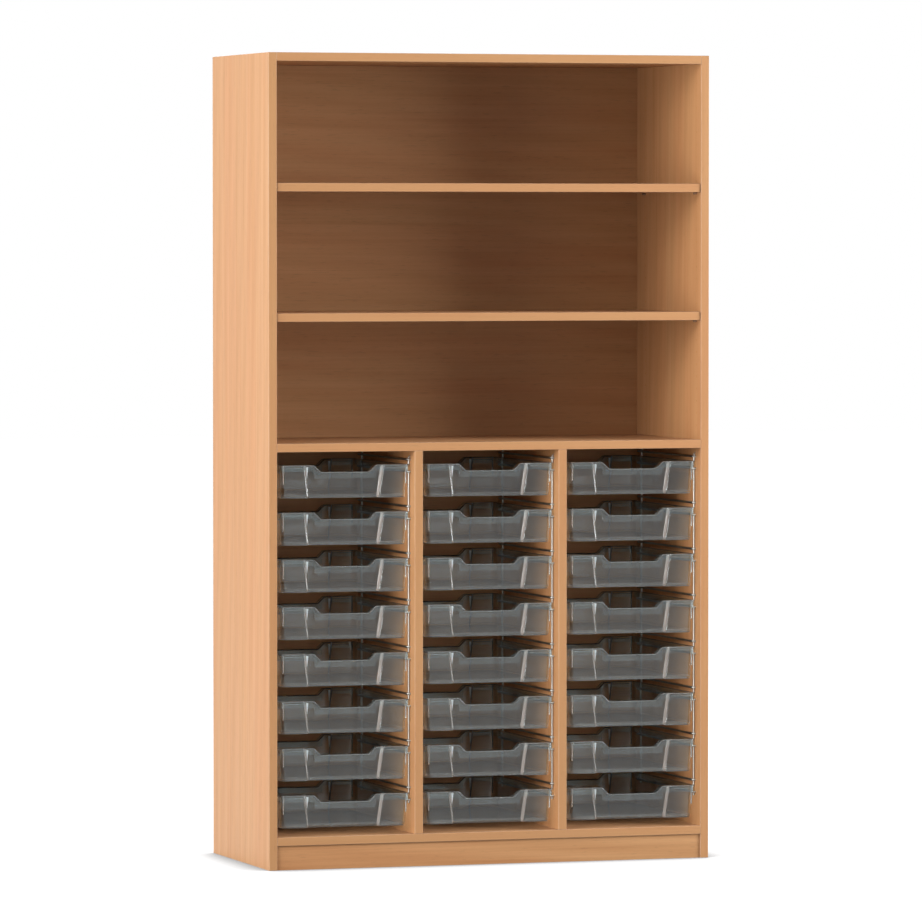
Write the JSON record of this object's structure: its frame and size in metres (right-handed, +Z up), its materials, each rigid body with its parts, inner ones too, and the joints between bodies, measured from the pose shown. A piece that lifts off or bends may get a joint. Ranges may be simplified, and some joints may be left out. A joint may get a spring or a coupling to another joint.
{
  "type": "classroom tray storage unit",
  "caption": "Tall beech-faced cabinet: open shelf bays above side-by-side columns of pull-out plastic trays that hang on chromed wire runner racks, on a recessed plinth.",
  "frame": {"origin": "centre of the footprint, on the floor", "axes": "+X to the right seen from the front, +Y from the open front to the back, +Z up"},
  "size_m": [1.0504, 0.46, 1.84],
  "materials": {
    "beech_upright": "light beech melamine face, grain upright, satin",
    "beech_level": "light beech melamine face, grain along the width, satin",
    "beech_edge": "beech-pattern edge band, satin",
    "joint_wood": "bare hardwood, glued",
    "pin_steel": "zinc-plated steel",
    "chromed_wire": "bright chromed steel wire",
    "tray_plastic": "translucent grey moulded plastic"
  },
  "bodies": {
    "cabinet": {"left_side_panel": "beech_upright", "left_side_panel_edge_band": "beech_edge", "right_side_panel": "beech_upright", "right_side_panel_edge_band": "beech_edge", "top_panel": "beech_level", "top_panel_edge_band": "beech_edge", "middle_panel": "beech_level", "middle_panel_edge_band": "beech_edge", "bottom_panel": "beech_level", "bottom_panel_edge_band": "beech_edge", "left_partition": "beech_upright", "left_partition_edge_band": "beech_edge", "right_partition": "beech_upright", "right_partition_edge_band": "beech_edge", "lower_shelf": "beech_level", "lower_shelf_edge_band": "beech_edge", "upper_shelf": "beech_level", "upper_shelf_edge_band": "beech_edge", "back_panel": "beech_level", "front_plinth": "beech_level", "rear_plinth": "beech_level", "joint_tongues": "joint_wood", "shelf_pins": "pin_steel", "left_column_left_rack": "chromed_wire", "left_column_right_rack": "chromed_wire", "centre_column_left_rack": "chromed_wire", "centre_column_right_rack": "chromed_wire", "right_column_left_rack": "chromed_wire", "right_column_right_rack": "chromed_wire"},
    "tray_left_1": {"tray_left_1": "tray_plastic"},
    "tray_left_2": {"tray_left_2": "tray_plastic"},
    "tray_left_3": {"tray_left_3": "tray_plastic"},
    "tray_left_4": {"tray_left_4": "tray_plastic"},
    "tray_left_5": {"tray_left_5": "tray_plastic"},
    "tray_left_6": {"tray_left_6": "tray_plastic"},
    "tray_left_7": {"tray_left_7": "tray_plastic"},
    "tray_left_8": {"tray_left_8": "tray_plastic"},
    "tray_centre_1": {"tray_centre_1": "tray_plastic"},
    "tray_centre_2": {"tray_centre_2": "tray_plastic"},
    "tray_centre_3": {"tray_centre_3": "tray_plastic"},
    "tray_centre_4": {"tray_centre_4": "tray_plastic"},
    "tray_centre_5": {"tray_centre_5": "tray_plastic"},
    "tray_centre_6": {"tray_centre_6": "tray_plastic"},
    "tray_centre_7": {"tray_centre_7": "tray_plastic"},
    "tray_centre_8": {"tray_centre_8": "tray_plastic"},
    "tray_right_1": {"tray_right_1": "tray_plastic"},
    "tray_right_2": {"tray_right_2": "tray_plastic"},
    "tray_right_3": {"tray_right_3": "tray_plastic"},
    "tray_right_4": {"tray_right_4": "tray_plastic"},
    "tray_right_5": {"tray_right_5": "tray_plastic"},
    "tray_right_6": {"tray_right_6": "tray_plastic"},
    "tray_right_7": {"tray_right_7": "tray_plastic"},
    "tray_right_8": {"tray_right_8": "tray_plastic"}
  },
  "joints": [
    {"name": "tray_left_1_slide", "type": "slide", "parent": "cabinet", "child": "tray_left_1", "axis": [0, -1, 0], "range_m": [0, 0.3]},
    {"name": "tray_left_2_slide", "type": "slide", "parent": "cabinet", "child": "tray_left_2", "axis": [0, -1, 0], "range_m": [0, 0.3]},
    {"name": "tray_left_3_slide", "type": "slide", "parent": "cabinet", "child": "tray_left_3", "axis": [0, -1, 0], "range_m": [0, 0.3]},
    {"name": "tray_left_4_slide", "type": "slide", "parent": "cabinet", "child": "tray_left_4", "axis": [0, -1, 0], "range_m": [0, 0.3]},
    {"name": "tray_left_5_slide", "type": "slide", "parent": "cabinet", "child": "tray_left_5", "axis": [0, -1, 0], "range_m": [0, 0.3]},
    {"name": "tray_left_6_slide", "type": "slide", "parent": "cabinet", "child": "tray_left_6", "axis": [0, -1, 0], "range_m": [0, 0.3]},
    {"name": "tray_left_7_slide", "type": "slide", "parent": "cabinet", "child": "tray_left_7", "axis": [0, -1, 0], "range_m": [0, 0.3]},
    {"name": "tray_left_8_slide", "type": "slide", "parent": "cabinet", "child": "tray_left_8", "axis": [0, -1, 0], "range_m": [0, 0.3]},
    {"name": "tray_centre_1_slide", "type": "slide", "parent": "cabinet", "child": "tray_centre_1", "axis": [0, -1, 0], "range_m": [0, 0.3]},
    {"name": "tray_centre_2_slide", "type": "slide", "parent": "cabinet", "child": "tray_centre_2", "axis": [0, -1, 0], "range_m": [0, 0.3]},
    {"name": "tray_centre_3_slide", "type": "slide", "parent": "cabinet", "child": "tray_centre_3", "axis": [0, -1, 0], "range_m": [0, 0.3]},
    {"name": "tray_centre_4_slide", "type": "slide", "parent": "cabinet", "child": "tray_centre_4", "axis": [0, -1, 0], "range_m": [0, 0.3]},
    {"name": "tray_centre_5_slide", "type": "slide", "parent": "cabinet", "child": "tray_centre_5", "axis": [0, -1, 0], "range_m": [0, 0.3]},
    {"name": "tray_centre_6_slide", "type": "slide", "parent": "cabinet", "child": "tray_centre_6", "axis": [0, -1, 0], "range_m": [0, 0.3]},
    {"name": "tray_centre_7_slide", "type": "slide", "parent": "cabinet", "child": "tray_centre_7", "axis": [0, -1, 0], "range_m": [0, 0.3]},
    {"name": "tray_centre_8_slide", "type": "slide", "parent": "cabinet", "child": "tray_centre_8", "axis": [0, -1, 0], "range_m": [0, 0.3]},
    {"name": "tray_right_1_slide", "type": "slide", "parent": "cabinet", "child": "tray_right_1", "axis": [0, -1, 0], "range_m": [0, 0.3]},
    {"name": "tray_right_2_slide", "type": "slide", "parent": "cabinet", "child": "tray_right_2", "axis": [0, -1, 0], "range_m": [0, 0.3]},
    {"name": "tray_right_3_slide", "type": "slide", "parent": "cabinet", "child": "tray_right_3", "axis": [0, -1, 0], "range_m": [0, 0.3]},
    {"name": "tray_right_4_slide", "type": "slide", "parent": "cabinet", "child": "tray_right_4", "axis": [0, -1, 0], "range_m": [0, 0.3]},
    {"name": "tray_right_5_slide", "type": "slide", "parent": "cabinet", "child": "tray_right_5", "axis": [0, -1, 0], "range_m": [0, 0.3]},
    {"name": "tray_right_6_slide", "type": "slide", "parent": "cabinet", "child": "tray_right_6", "axis": [0, -1, 0], "range_m": [0, 0.3]},
    {"name": "tray_right_7_slide", "type": "slide", "parent": "cabinet", "child": "tray_right_7", "axis": [0, -1, 0], "range_m": [0, 0.3]},
    {"name": "tray_right_8_slide", "type": "slide", "parent": "cabinet", "child": "tray_right_8", "axis": [0, -1, 0], "range_m": [0, 0.3]}
  ]
}
